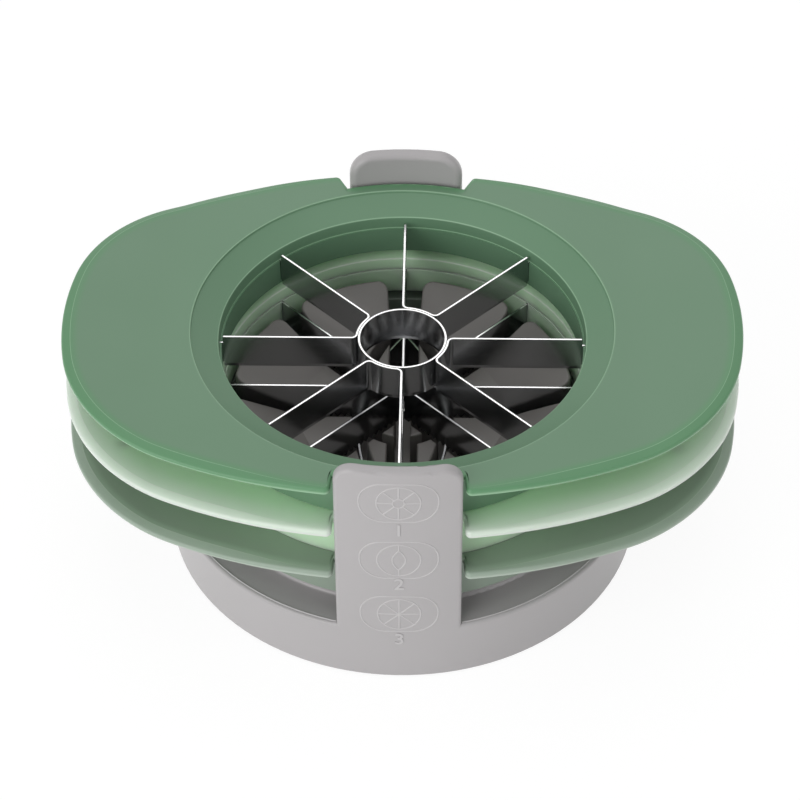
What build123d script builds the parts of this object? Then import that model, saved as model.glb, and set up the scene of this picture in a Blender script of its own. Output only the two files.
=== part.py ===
"""Stacking fruit cutter set: three hand cutters on a round base with a slotted pusher.

All sizes are in millimetres. Z is up, X runs along the hand wings and Y runs from the front tab
(negative) to the rear lug (positive). Z = 0 is the table under the foot pads.
"""
from build123d import *
from math import asin, atan2, cos, degrees, hypot, radians, sin, sqrt, tan
import os

# --- driving dimensions -----------------------------------------------------------------------
OPENING_RADIUS = 52.0         # round opening of every cutter
STACK_PITCH = 16.0            # height that each cutter adds to the stack
SEAT_HEIGHT = 24.0            # height of the base seat that carries the lowest cutter
RIM_FALL = 4.0                # drop from the plate top to the opening edge

# --- opening, skirt and clamp ring ------------------------------------------------------------
FUNNEL_WIDTH = 7.7            # from the opening edge out to the step in the plate top
STEP_ROUND = 1.2
OPENING_ROUND = 0.3           # rounding of the opening edge
BORE_TAPER = 0.3              # the bore below the opening edge closes in by this much
SEAM_DEPTH = 3.7              # the clamp ring starts this far below the opening edge
SKIRT_LAND = 1.6              # from the step out to the outer foot of the skirt
SKIRT_WALL = 2.7
SKIRT_DRAFT = 0.6             # the skirt is this much slimmer at its top
SKIRT_ROUND = 0.4             # rounding of the outer foot edge
RING_FIT = 0.1                # clearance of the clamp ring in the skirt
RING_STEP = 0.7               # the clamp ring stands in from the opening edge by this much
RING_WALL = 2.7
RING_FLANGE = 2.4

# --- notches for the tab and the lug ----------------------------------------------------------
NOTCH_LAND = 2.2              # from the skirt out to the floor of the notches
NOTCH_DEPTH = 4.3             # from the floor of the notches to the crown of the plate
NOTCH_GAP = 0.5               # side clearance of a notch
NOTCH_CORNER = 1.6
FRONT_NOTCH_FLARE = 0.3       # extra half width of a notch at the crown of the plate
REAR_NOTCH_FLARE = 2.2

# --- plate of a cutter ------------------------------------------------------------------------
WING_REACH = 34.3             # from the skirt out to the end arc of each hand wing
SIDE_RADIUS = 153.0           # long front and back arcs
CORNER_RADIUS = 48.0          # arcs that join the wing ends to the long sides
PANEL_THICKNESS = 2.2
PANEL_EDGE_ROUND = 1.7        # roll of the upper edge
WING_FLAT = 1.7               # the wings turn up this far outside the skirt
WING_RISE_ANGLE = 6.2         # slope of the turned-up wings, degrees
WING_BEND_RADIUS = 60.0
WING_RIB_THICKNESS = 1.6
WING_RIB_DEPTH = 5.0          # depth of the wing ribs where they meet the skirt
WING_RIB_TIP_DEPTH = 1.0
WING_RIB_END_GAP = 10.0       # the ribs stop this far short of the wing end
WING_RIB_ANGLES = (-24, 0, 24, 156, 180, 204)
LEVEL_FACE = 0.9              # a face is level where its normal points up by more than this

# --- blades -----------------------------------------------------------------------------------
BLADE_THICKNESS = 0.7
BLADE_SLOT_FIT = 0.1          # clearance of a blade in its slot
BLADE_WALL_GAP = 0.4          # the free part of a blade stays this far inside the bore
BLADE_TAB_LENGTH = 2.3        # how far a blade tab reaches into the clamp ring
BLADE_TAB_FLOOR = 1.2         # plastic under a blade tab
BLADE_BEVEL_HEIGHT = 1.2
BLADE_BEVEL_ANGLE = 11.0
WELD_GAP = 0.02               # between two strips that lie on each other
SPOKE_COUNT = 8
CORER_BLADE_TOP = -1.5
CORER_BLADE_HEIGHT = 11.0
CORE_RING_RADIUS = 12.3       # middle of the core ring wall
CORE_BEND_RADIUS = 1.6        # where a blade leaves the core ring
SERRATED_BLADE_TOP = -4.1
SERRATED_BLADE_HEIGHT = 12.0
TOOTH_PITCH = 2.0
TOOTH_DEPTH = 1.4
PLAIN_EDGE = 2.0              # plain edge before the first tooth
LAP_HALF_WIDTH = 1.1          # half width of the notches where the straight blades cross
LENS_END_GAP = 11.3           # from the point of the lens out to the bore of its ring
LENS_HALF_WIDTH = 13.0
LENS_BEND_RADIUS = 4.0

# --- base -------------------------------------------------------------------------------------
LUG_WIDTH = 33.6
LUG_HEIGHT = 81.4             # top of the lug above the table
LUG_CORNER = 7.0
LUG_THICKNESS = 4.4
LUG_EDGE_ROUND = 1.8
LUG_GAP = 0.9                 # clearance between the lug and the notch floor
TAB_WIDTH = 34.5
TAB_HEIGHT = 80.2             # top of the tab above the table
TAB_CORNER = 5.5
TAB_THICKNESS = 3.6
TAB_EDGE_ROUND = 1.2
BASE_WALL = 1.9
SHOULDER_HEIGHT = 19.3        # flat shoulder between the seat and the outer wall
SHOULDER_THICKNESS = 2.2
SHOULDER_ROUND = 1.1
BASE_FLOOR = 2.6              # thickness of the floor
SEAT_FIT = 0.6                # the seat stands in from the recess of the skirt by this much
SEAT_WALL = 3.0
SEAT_ROUND = 0.4
SEAT_FOOT_ROUND = 0.8         # where the seat ring stands on the shoulder
PAD_RADIUS = 5.0
PAD_THICKNESS = 1.6
PAD_RECESS = 0.8
PAD_INSET = 8.0               # from the outside of the seat in to the middle of a pad
PAD_COUNT = 4

# --- pusher -----------------------------------------------------------------------------------
PUSHER_GAP = 2.3              # between the blocks and the bore of the clamp rings
PUSHER_TOP = 46.9             # top of the outer edge of the blocks
DISH_BAND = 19.0              # sloping outer band of the dish
DISH_DEPTH = 8.9
SLOT_WIDTH = 4.5
SLOT_FLARE = 1.4              # extra half width of a slot at the outer edge
LENS_LINE_SLOT_WIDTH = 8.6    # front and back slots, which also take the lens tails
LENS_LINE_SLOT_FLARE = 1.2
SLOT_FLARE_LENGTH = 13.0
SLOT_FLOOR_GAP = 2.6          # clearance under the deepest blade
CORE_SLOT_INNER_GAP = 1.35
CORE_SLOT_OUTER_GAP = 0.6
LENS_SLOT_GAP = 1.35
BLOCK_CORNER = 3.0            # rounding of the blocks at the ends of the slots
BLOCK_EDGE_ROUND = 0.6        # rounding of their upper edges
FLANGE_WIDTH = 4.0            # the flange stands out from the blocks by this much
FLANGE_THICKNESS = 2.4

# --- values that follow -----------------------------------------------------------------------
STEP_RADIUS = OPENING_RADIUS + FUNNEL_WIDTH
BORE_RADIUS = OPENING_RADIUS - BORE_TAPER
SKIRT_RADIUS = STEP_RADIUS + SKIRT_LAND
RECESS_RADIUS = SKIRT_RADIUS - SKIRT_WALL
RING_BORE = OPENING_RADIUS - RING_STEP
NOTCH_RADIUS = SKIRT_RADIUS + NOTCH_LAND
SIDE_CROWN = NOTCH_RADIUS + NOTCH_DEPTH
WING_RADIUS = SKIRT_RADIUS + WING_REACH
WING_RISE_START = SKIRT_RADIUS + WING_FLAT
SKIRT_BOTTOM = RIM_FALL - STACK_PITCH
SPLITTER_LEVEL = SEAT_HEIGHT - SKIRT_BOTTOM
WEDGER_LEVEL = SPLITTER_LEVEL + STACK_PITCH
CORER_LEVEL = WEDGER_LEVEL + STACK_PITCH
BLADE_FREE_RADIUS = RING_BORE - BLADE_WALL_GAP
BLADE_END_RADIUS = RING_BORE + BLADE_TAB_LENGTH
BLADE_TAB_BOTTOM = SKIRT_BOTTOM + BLADE_TAB_FLOOR
SERRATED_BLADE_BOTTOM = SERRATED_BLADE_TOP - SERRATED_BLADE_HEIGHT
CORER_BLADE_BOTTOM = CORER_BLADE_TOP - CORER_BLADE_HEIGHT
CORE_PATH_RADIUS = CORE_RING_RADIUS + BLADE_THICKNESS + WELD_GAP
LENS_HALF_LENGTH = RING_BORE - LENS_END_GAP
SPOKE_STEP = 360 / SPOKE_COUNT
BASE_RADIUS = NOTCH_RADIUS + LUG_GAP + LUG_THICKNESS
BASE_BOTTOM = PAD_THICKNESS - PAD_RECESS
BASE_FLOOR_TOP = BASE_BOTTOM + BASE_FLOOR
CHANNEL_ROOF = SHOULDER_HEIGHT - SHOULDER_THICKNESS
SEAT_RADIUS = RECESS_RADIUS - SEAT_FIT
PAD_CIRCLE_RADIUS = SEAT_RADIUS - PAD_INSET
PAD_STEP = 360 / PAD_COUNT
PUSHER_RADIUS = RING_BORE - PUSHER_GAP
DISH_RADIUS = PUSHER_RADIUS - DISH_BAND
SLOT_FLARE_START = PUSHER_RADIUS - SLOT_FLARE_LENGTH
SLOT_FLOOR = SPLITTER_LEVEL + SERRATED_BLADE_BOTTOM - SLOT_FLOOR_GAP
FLANGE_RADIUS = PUSHER_RADIUS + FLANGE_WIDTH
BEYOND = 10.0                 # cutters and trims reach this far past what they cut

os.makedirs("parts", exist_ok=True)


def save(builder, name):
    """Label a finished sub-part and write it under its own name."""
    builder.part.label = name
    export_step(builder.part, f"parts/{name}.step")


def upright_plane(level, angle=0):
    """Upright plane through the stack axis: local x points outwards, local y is up."""
    turn = radians(angle)
    return Plane(origin=(0, 0, level), x_dir=(cos(turn), sin(turn), 0), z_dir=(sin(turn), -cos(turn), 0))


# --- plate outline ----------------------------------------------------------------------------
def quarter_outline():
    """Draw a quarter of the plate outline as three tangent arcs, from wing tip to crown."""
    side_y = SIDE_CROWN - SIDE_RADIUS
    to_end = WING_RADIUS - CORNER_RADIUS
    to_side = SIDE_RADIUS - CORNER_RADIUS
    y = (side_y**2 + to_end**2 - to_side**2) / (2 * side_y)
    x = sqrt(to_end**2 - y**2)
    end_angle = degrees(atan2(y, x))
    side_angle = degrees(atan2(y - side_y, x))
    CenterArc((0, 0), WING_RADIUS, 0, end_angle)
    CenterArc((x, y), CORNER_RADIUS, end_angle, side_angle - end_angle)
    CenterArc((0, side_y), SIDE_RADIUS, side_angle, 90 - side_angle)


def is_notch_mouth(vertex):
    """True for the corners where a notch opens into the long side of the plate."""
    return abs(vertex.Y) > NOTCH_RADIUS and abs(vertex.X) < TAB_WIDTH


def notch(width, flare, turn):
    """Cut a notch that opens towards the rear, then turned about the stack axis."""
    half = width / 2 + NOTCH_GAP
    slope = flare / (SIDE_CROWN - NOTCH_RADIUS)
    mouth = half + slope * BEYOND
    Polygon(
        (-half, 0),
        (-half, NOTCH_RADIUS),
        (-mouth, NOTCH_RADIUS + BEYOND),
        (mouth, NOTCH_RADIUS + BEYOND),
        (half, NOTCH_RADIUS),
        (half, 0),
        rotation=turn,
        align=None,
        mode=Mode.SUBTRACT,
    )


def plate_outline(level):
    """Sketch of the winged plate with its two notches."""
    with BuildSketch(Plane.XY.offset(level)) as outline:
        with BuildLine():
            quarter_outline()
            mirror(about=Plane.XZ)
            mirror(about=Plane.YZ)
        make_face()
        notch(TAB_WIDTH, FRONT_NOTCH_FLARE, 180)
        notch(LUG_WIDTH, REAR_NOTCH_FLARE, 0)
        Circle(NOTCH_RADIUS)
        fillet(outline.vertices().filter_by(is_notch_mouth), NOTCH_CORNER)
    return outline.sketch


# --- plate section ----------------------------------------------------------------------------
def wing_line(depth):
    """Line of the plate section, lowered by depth: start and end of the bend, and far end."""
    slope = radians(WING_RISE_ANGLE)
    bend = WING_BEND_RADIUS + depth
    start = Vector(WING_RISE_START, RIM_FALL - depth)
    end = start + Vector(bend * sin(slope), bend * (1 - cos(slope)))
    far = end + Vector(WING_RADIUS + BEYOND - end.X, (WING_RADIUS + BEYOND - end.X) * tan(slope))
    return start, end, far


def half_plate_section():
    """Draw the plate section from the middle to beyond the wing tip."""
    start, end, far = wing_line(0)
    low_start, low_end, low_far = wing_line(PANEL_THICKNESS)
    Line((0, RIM_FALL), start)
    TangentArc(start, end, tangent=(1, 0))
    Line(end, far)
    Line(far, low_far)
    Line(low_far, low_end)
    TangentArc(low_start, low_end, tangent=(1, 0))
    Line(low_start, (0, RIM_FALL - PANEL_THICKNESS))


def is_bend_line(edge):
    """True for a straight line across a wing where its bend starts or ends."""
    return edge.geom_type == GeomType.LINE and abs(edge.center().X) > WING_RISE_START - 1


# --- frame of a cutter ------------------------------------------------------------------------
def skirt_section(level):
    """Section of the funnel, the bore and the skirt, with the recess for the clamp ring."""
    step = (STEP_RADIUS, RIM_FALL)
    opening = (OPENING_RADIUS, 0)
    foot = (SKIRT_RADIUS, SKIRT_BOTTOM)
    with BuildSketch(upright_plane(level)) as section:
        with BuildLine():
            Polyline(
                step,
                opening,
                (BORE_RADIUS, -SEAM_DEPTH),
                (RECESS_RADIUS, -SEAM_DEPTH),
                (RECESS_RADIUS, SKIRT_BOTTOM),
                foot,
                (SKIRT_RADIUS - SKIRT_DRAFT, RIM_FALL - PANEL_THICKNESS / 2),
                (SKIRT_RADIUS - SKIRT_DRAFT, RIM_FALL),
                close=True,
            )
        make_face()
        for corner, radius in ((step, STEP_ROUND), (opening, OPENING_ROUND), (foot, SKIRT_ROUND)):
            fillet(section.vertices().sort_by_distance(corner)[0], radius)
    return section.sketch


def wing_rib(level, angle):
    """Upright rib under a wing, deep at the skirt and shallow at the wing end."""
    start, end, far = wing_line(PANEL_THICKNESS / 2)
    along = cos(radians(angle))
    tip = WING_RADIUS - WING_RIB_END_GAP
    tip_rise = (tip * abs(along) - end.X) * tan(radians(WING_RISE_ANGLE))
    inner = SKIRT_RADIUS - SKIRT_WALL / 2
    with BuildSketch(upright_plane(level, angle)) as rib:
        with BuildLine():
            Polyline(
                (inner, start.Y),
                (start.X / abs(along), start.Y),
                (tip, end.Y + tip_rise),
                (tip, end.Y + tip_rise - PANEL_THICKNESS / 2 - WING_RIB_TIP_DEPTH),
                (inner, start.Y - PANEL_THICKNESS / 2 - WING_RIB_DEPTH),
                close=True,
            )
        make_face()
    return rib.sketch


def cutter_frame(level):
    """Winged plate with a funnelled opening and a skirt that stands on the next plate."""
    with BuildPart() as frame:
        with BuildSketch(upright_plane(level)):
            with BuildLine():
                half_plate_section()
                mirror(about=Plane.YZ)
            make_face()
        extrude(amount=SIDE_CROWN + BEYOND, both=True)
        extrude(plate_outline(level + SKIRT_BOTTOM), amount=2 * STACK_PITCH, mode=Mode.INTERSECT)
        upper = frame.faces().filter_by(lambda face: face.normal_at().Z > LEVEL_FACE)
        rim = upper.edges().filter_by(lambda edge: not is_bend_line(edge))
        fillet(rim, PANEL_EDGE_ROUND)
        for angle in WING_RIB_ANGLES:
            extrude(wing_rib(level, angle), amount=WING_RIB_THICKNESS / 2, both=True)
        with BuildSketch(Plane.XY.offset(level + SKIRT_BOTTOM)):
            Circle(SKIRT_RADIUS - SKIRT_DRAFT - PANEL_THICKNESS / 4)
        extrude(amount=2 * STACK_PITCH, mode=Mode.SUBTRACT)
        revolve(skirt_section(level), axis=Axis.Z)
    return frame


def clamp_ring(level, slot_count, first_slot, strips):
    """Ring under the bore: a slotted wall that holds the blade tabs, and a flange at its foot."""
    slot_width = strips * BLADE_THICKNESS + (strips - 1) * WELD_GAP + 2 * BLADE_SLOT_FIT
    with BuildPart() as ring:
        with BuildSketch(upright_plane(level)):
            with BuildLine():
                Polyline(
                    (RING_BORE, SKIRT_BOTTOM),
                    (RECESS_RADIUS - RING_FIT, SKIRT_BOTTOM),
                    (RECESS_RADIUS - RING_FIT, SKIRT_BOTTOM + RING_FLANGE),
                    (RING_BORE + RING_WALL, SKIRT_BOTTOM + RING_FLANGE),
                    (RING_BORE + RING_WALL, -SEAM_DEPTH),
                    (RING_BORE, -SEAM_DEPTH),
                    close=True,
                )
            make_face()
        revolve(axis=Axis.Z)
        with BuildSketch(Plane.XY.offset(level + BLADE_TAB_BOTTOM)):
            with PolarLocations(RING_BORE + RING_WALL / 2, slot_count, start_angle=first_slot):
                Rectangle(2 * RING_WALL, slot_width)
        extrude(amount=STACK_PITCH, mode=Mode.SUBTRACT)
    return ring


# --- blades -----------------------------------------------------------------------------------
def end_trims(level, top):
    """Rings cut from a blade outside the bore, which leave only its tabs there."""
    with BuildSketch(upright_plane(level)) as trims:
        with Locations((BLADE_FREE_RADIUS, min(top, -SEAM_DEPTH))):
            Rectangle(BEYOND, BEYOND, align=Align.MIN)
        with Locations((BLADE_FREE_RADIUS, BLADE_TAB_BOTTOM)):
            Rectangle(BEYOND, BEYOND, align=(Align.MIN, Align.MAX))
    return trims.sketch


def core_blade_path(first_angle):
    """Draw one corer strip: in along a spoke, round the core ring, and out along the next."""
    bend = CORE_BEND_RADIUS
    swing = degrees(asin(bend / (CORE_PATH_RADIUS + bend)))
    reach = (CORE_PATH_RADIUS + bend) * cos(radians(swing))
    last_angle = first_angle + SPOKE_STEP
    for angle, side in ((first_angle, 1), (last_angle, -1)):
        ray = Vector(1, 0).rotate(Axis.Z, angle)
        middle = Vector(CORE_PATH_RADIUS + bend, 0).rotate(Axis.Z, angle + side * swing)
        Line(ray * BLADE_END_RADIUS, ray * reach)
        CenterArc(middle, bend, angle - side * 90, -side * (90 - swing))
    CenterArc((0, 0), CORE_PATH_RADIUS, first_angle + swing, SPOKE_STEP - 2 * swing)


def corer_blade(first_angle):
    """Bent strip with two spokes and a ground lower edge."""
    with BuildPart() as blade:
        with BuildSketch(Plane.XY.offset(CORER_LEVEL + CORER_BLADE_BOTTOM + BLADE_BEVEL_HEIGHT)) as strip:
            with BuildLine() as path:
                core_blade_path(first_angle)
            trace(path.edges(), BLADE_THICKNESS)
        extrude(amount=CORER_BLADE_HEIGHT - BLADE_BEVEL_HEIGHT)
        extrude(strip.sketch, amount=-BLADE_BEVEL_HEIGHT, taper=BLADE_BEVEL_ANGLE)
        revolve(end_trims(CORER_LEVEL, CORER_BLADE_TOP), axis=Axis.Z, mode=Mode.SUBTRACT)
    return blade


def core_ring():
    """Round blade in the middle of the corer, ground at its lower edge."""
    outer = CORE_RING_RADIUS + BLADE_THICKNESS / 2
    inner = CORE_RING_RADIUS - BLADE_THICKNESS / 2
    grind = BLADE_BEVEL_HEIGHT * tan(radians(BLADE_BEVEL_ANGLE))
    with BuildPart() as ring:
        with BuildSketch(upright_plane(CORER_LEVEL)):
            with BuildLine():
                Polyline(
                    (inner, CORER_BLADE_TOP),
                    (outer, CORER_BLADE_TOP),
                    (outer, CORER_BLADE_BOTTOM + BLADE_BEVEL_HEIGHT),
                    (outer - grind, CORER_BLADE_BOTTOM),
                    (inner + grind, CORER_BLADE_BOTTOM),
                    (inner, CORER_BLADE_BOTTOM + BLADE_BEVEL_HEIGHT),
                    close=True,
                )
            make_face()
        revolve(axis=Axis.Z)
    return ring


def serrated_edge(plain_half):
    """Points of a toothed lower edge from left to right, plain for plain_half at its middle."""
    count = int((BLADE_FREE_RADIUS - PLAIN_EDGE - plain_half) / TOOTH_PITCH)
    left = []
    for tooth in range(count):
        outer = BLADE_FREE_RADIUS - PLAIN_EDGE - tooth * TOOTH_PITCH
        left.append((-outer, SERRATED_BLADE_BOTTOM))
        left.append((-outer + TOOTH_PITCH / 2, SERRATED_BLADE_BOTTOM + TOOTH_DEPTH))
    left.append((-outer + TOOTH_PITCH, SERRATED_BLADE_BOTTOM))
    return left + [(-x, z) for x, z in reversed(left)]


def serrated_side(level, angle, plain_half):
    """Side view of a serrated blade that reaches from ring to ring."""
    with BuildSketch(upright_plane(level, angle)) as side:
        with BuildLine():
            Polyline(
                (-BLADE_END_RADIUS, SERRATED_BLADE_TOP),
                (-BLADE_END_RADIUS, SERRATED_BLADE_BOTTOM),
                *serrated_edge(plain_half),
                (BLADE_END_RADIUS, SERRATED_BLADE_BOTTOM),
                (BLADE_END_RADIUS, SERRATED_BLADE_TOP),
                close=True,
            )
        make_face()
    return side.sketch


def wedger_blade(order):
    """Straight blade across the opening, notched at the middle so that all four cross."""
    angle = order * SPOKE_STEP
    share = SERRATED_BLADE_HEIGHT * 2 / SPOKE_COUNT
    above = order * share
    below = SERRATED_BLADE_HEIGHT - above - share
    with BuildPart() as blade:
        extrude(serrated_side(WEDGER_LEVEL, angle, PLAIN_EDGE), amount=BLADE_THICKNESS / 2, both=True)
        revolve(end_trims(WEDGER_LEVEL, SERRATED_BLADE_TOP), axis=Axis.Z, mode=Mode.SUBTRACT)
        with BuildSketch(upright_plane(WEDGER_LEVEL, angle)) as laps:
            if above > 0:
                with Locations((0, SERRATED_BLADE_TOP)):
                    Rectangle(2 * LAP_HALF_WIDTH, above, align=(Align.CENTER, Align.MAX))
            if below > 0:
                with Locations((0, SERRATED_BLADE_BOTTOM)):
                    Rectangle(2 * LAP_HALF_WIDTH, below, align=(Align.CENTER, Align.MIN))
        extrude(laps.sketch, amount=BLADE_THICKNESS, both=True, mode=Mode.SUBTRACT)
    return blade


def lens_path():
    """Draw the right strip of the lens: a tail, a bend, the long arc, a bend and a tail."""
    x = (BLADE_THICKNESS + WELD_GAP) / 2
    bend = LENS_BEND_RADIUS
    radius = (LENS_HALF_LENGTH**2 + LENS_HALF_WIDTH**2) / (2 * LENS_HALF_WIDTH)
    centre_x = LENS_HALF_WIDTH - radius
    bend_y = sqrt((radius + bend)**2 - (x + bend - centre_x)**2)
    swing = degrees(atan2(bend_y, x + bend - centre_x))
    for side in (-1, 1):
        Line((x, side * BLADE_END_RADIUS), (x, side * bend_y))
        CenterArc((x + bend, side * bend_y), bend, 180, side * swing)
    CenterArc((centre_x, 0), radius, -swing, 2 * swing)


def splitter_blade_right():
    """Right strip of the lens-shaped blade."""
    with BuildPart() as blade:
        with BuildSketch(Plane.XY.offset(SPLITTER_LEVEL + SERRATED_BLADE_BOTTOM)):
            with BuildLine() as path:
                lens_path()
            trace(path.edges(), BLADE_THICKNESS)
        extrude(amount=SERRATED_BLADE_HEIGHT)
        side = serrated_side(SPLITTER_LEVEL, 90, 0)
        extrude(side, amount=LENS_HALF_WIDTH + BEYOND, both=True, mode=Mode.INTERSECT)
        revolve(end_trims(SPLITTER_LEVEL, SERRATED_BLADE_TOP), axis=Axis.Z, mode=Mode.SUBTRACT)
    return blade


# --- base -------------------------------------------------------------------------------------
def base_section():
    """Section of the base: floor, seat ring, shoulder and outer wall, open underneath the shoulder."""
    wall = BASE_RADIUS - BASE_WALL
    seat_inside = SEAT_RADIUS - SEAT_WALL
    rim = (BASE_RADIUS, SHOULDER_HEIGHT)
    seat_foot = (SEAT_RADIUS, SHOULDER_HEIGHT)
    seat_edge = (SEAT_RADIUS, SEAT_HEIGHT)
    seat_lip = (seat_inside, SEAT_HEIGHT)
    with BuildSketch(upright_plane(0)) as section:
        with BuildLine():
            Polyline(
                (0, BASE_BOTTOM),
                (SEAT_RADIUS, BASE_BOTTOM),
                (SEAT_RADIUS, CHANNEL_ROOF),
                (wall, CHANNEL_ROOF),
                (wall, BASE_BOTTOM),
                (BASE_RADIUS, BASE_BOTTOM),
                rim,
                seat_foot,
                seat_edge,
                seat_lip,
                (seat_inside, BASE_FLOOR_TOP),
                (0, BASE_FLOOR_TOP),
                close=True,
            )
        make_face()
        for corner, radius in (
            (rim, SHOULDER_ROUND),
            (seat_foot, SEAT_FOOT_ROUND),
            (seat_edge, SEAT_ROUND),
            (seat_lip, SEAT_ROUND),
        ):
            fillet(section.vertices().sort_by_distance(corner)[0], radius)
    return section.sketch


def upright(width, height, corner, thickness, edge_round, side):
    """Curved tab or lug that rises from the base wall and guides the notches of the plates."""
    with BuildPart() as piece:
        with BuildSketch(Plane.XY.offset(BASE_BOTTOM)):
            Circle(BASE_RADIUS)
            Circle(BASE_RADIUS - thickness, mode=Mode.SUBTRACT)
            with Locations((0, side * BASE_RADIUS)):
                Rectangle(width + BEYOND, BASE_RADIUS, mode=Mode.INTERSECT)
        extrude(amount=height)
        with BuildSketch(upright_plane(BASE_BOTTOM)) as front:
            Rectangle(width, height - BASE_BOTTOM, align=(Align.CENTER, Align.MIN))
            fillet(front.vertices().group_by(Axis.Y)[-1], corner)
        extrude(amount=BASE_RADIUS + BEYOND, both=True, mode=Mode.INTERSECT)
        round_faces = piece.faces().filter_by(GeomType.CYLINDER).sort_by(SortBy.AREA)[-2:]
        free_edges = round_faces.edges().filter_by(lambda edge: edge.center().Z > BASE_FLOOR_TOP)
        fillet(free_edges, edge_round)
    return piece.part


with BuildPart() as base_body:
    revolve(base_section(), axis=Axis.Z)
    add(upright(TAB_WIDTH, TAB_HEIGHT, TAB_CORNER, TAB_THICKNESS, TAB_EDGE_ROUND, -1))
    add(upright(LUG_WIDTH, LUG_HEIGHT, LUG_CORNER, LUG_THICKNESS, LUG_EDGE_ROUND, 1))
    with BuildSketch(Plane.XY.offset(BASE_BOTTOM)):
        with PolarLocations(PAD_CIRCLE_RADIUS, PAD_COUNT, start_angle=PAD_STEP / 2):
            Circle(PAD_RADIUS)
    extrude(amount=PAD_RECESS, mode=Mode.SUBTRACT)
save(base_body, "base_body")

for number in range(PAD_COUNT):
    with BuildPart() as foot_pad:
        with BuildSketch(Plane.XY):
            with PolarLocations(PAD_CIRCLE_RADIUS, 1, start_angle=PAD_STEP * number + PAD_STEP / 2):
                Circle(PAD_RADIUS - RING_FIT)
        extrude(amount=PAD_THICKNESS)
    save(foot_pad, f"foot_pad_{number + 1}")


# --- pusher -----------------------------------------------------------------------------------
def spoke_slot(angle, start, width, flare):
    """Cut a slot from the start radius to the outer edge, flared at its outer end."""
    half = width / 2
    slope = flare / (PUSHER_RADIUS - SLOT_FLARE_START)
    mouth = half + slope * (PUSHER_RADIUS + BEYOND - SLOT_FLARE_START)
    Polygon(
        (start, -half),
        (SLOT_FLARE_START, -half),
        (PUSHER_RADIUS + BEYOND, -mouth),
        (PUSHER_RADIUS + BEYOND, mouth),
        (SLOT_FLARE_START, half),
        (start, half),
        rotation=angle,
        align=None,
        mode=Mode.SUBTRACT,
    )


with BuildPart() as pusher:
    with BuildSketch(Plane.XY.offset(BASE_FLOOR_TOP)):
        Circle(FLANGE_RADIUS)
    extrude(amount=FLANGE_THICKNESS)
    with BuildSketch(Plane.XY.offset(BASE_FLOOR_TOP)):
        Circle(PUSHER_RADIUS)
    extrude(amount=SLOT_FLOOR - BASE_FLOOR_TOP)
    with BuildSketch(Plane.XY.offset(SLOT_FLOOR)) as blocks:
        Circle(PUSHER_RADIUS)
        Circle(CORE_PATH_RADIUS + BLADE_THICKNESS / 2 + CORE_SLOT_OUTER_GAP, mode=Mode.SUBTRACT)
        Circle(CORE_RING_RADIUS - BLADE_THICKNESS / 2 - CORE_SLOT_INNER_GAP)
        for spoke in range(SPOKE_COUNT):
            spoke_slot(spoke * SPOKE_STEP, 0, SLOT_WIDTH, SLOT_FLARE)
        for lens_line in (90, 270):
            spoke_slot(lens_line, CORE_RING_RADIUS, LENS_LINE_SLOT_WIDTH, LENS_LINE_SLOT_FLARE)
        with BuildLine() as lens_lines:
            lens_path()
            mirror(about=Plane.YZ)
        trace(lens_lines.edges(), BLADE_THICKNESS + 2 * LENS_SLOT_GAP, mode=Mode.SUBTRACT)
        rim_start = PUSHER_RADIUS - RING_FIT
        rim_corners = blocks.vertices().filter_by(lambda corner: hypot(corner.X, corner.Y) > rim_start)
        fillet(rim_corners, BLOCK_CORNER)
    extrude(amount=PUSHER_TOP - SLOT_FLOOR)
    with BuildSketch(upright_plane(PUSHER_TOP)):
        with BuildLine():
            Polyline(
                (0, -DISH_DEPTH),
                (DISH_RADIUS, -DISH_DEPTH),
                (PUSHER_RADIUS, 0),
                (PUSHER_RADIUS, BEYOND),
                (0, BEYOND),
                close=True,
            )
        make_face()
    revolve(axis=Axis.Z, mode=Mode.SUBTRACT)
    crest_start = PUSHER_TOP - DISH_DEPTH - RING_FIT
    crest = pusher.edges().filter_by(lambda edge: edge.center().Z > crest_start)
    fillet(crest, BLOCK_EDGE_ROUND)
save(pusher, "pusher")

# --- splitter, the lowest cutter --------------------------------------------------------------
save(cutter_frame(SPLITTER_LEVEL), "splitter_frame")
save(clamp_ring(SPLITTER_LEVEL, 2, 90, 2), "splitter_clamp_ring")
right_strip = splitter_blade_right()
save(right_strip, "splitter_blade_right")
with BuildPart() as left_strip:
    mirror(right_strip.part, about=Plane.YZ)
save(left_strip, "splitter_blade_left")

# --- wedger, the middle cutter ----------------------------------------------------------------
save(cutter_frame(WEDGER_LEVEL), "wedger_frame")
save(clamp_ring(WEDGER_LEVEL, SPOKE_COUNT, 0, 1), "wedger_clamp_ring")
for number in range(SPOKE_COUNT // 2):
    save(wedger_blade(number), f"wedger_blade_{number + 1}")

# --- corer, the top cutter --------------------------------------------------------------------
save(cutter_frame(CORER_LEVEL), "corer_frame")
save(clamp_ring(CORER_LEVEL, SPOKE_COUNT, 0, 1), "corer_clamp_ring")
save(core_ring(), "corer_core_ring")
for number in range(SPOKE_COUNT // 2):
    save(corer_blade((2 * number + 1) * SPOKE_STEP), f"corer_blade_{number + 1}")
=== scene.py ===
"""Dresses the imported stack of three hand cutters: plates, moulded marks, finishes and the studio.

Lengths in the classes are in millimetres, and MM turns them into Blender's metres. Every new piece
stands on the CAD nodes, whose places come from the frame.
"""

import logging
import math
from dataclasses import dataclass, field, replace
from enum import Enum
from typing import Any

import bmesh
import bpy
from bpy.types import Material, Node, NodeSocket, NodeTree, Object
from mathutils import Matrix, Vector

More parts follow.
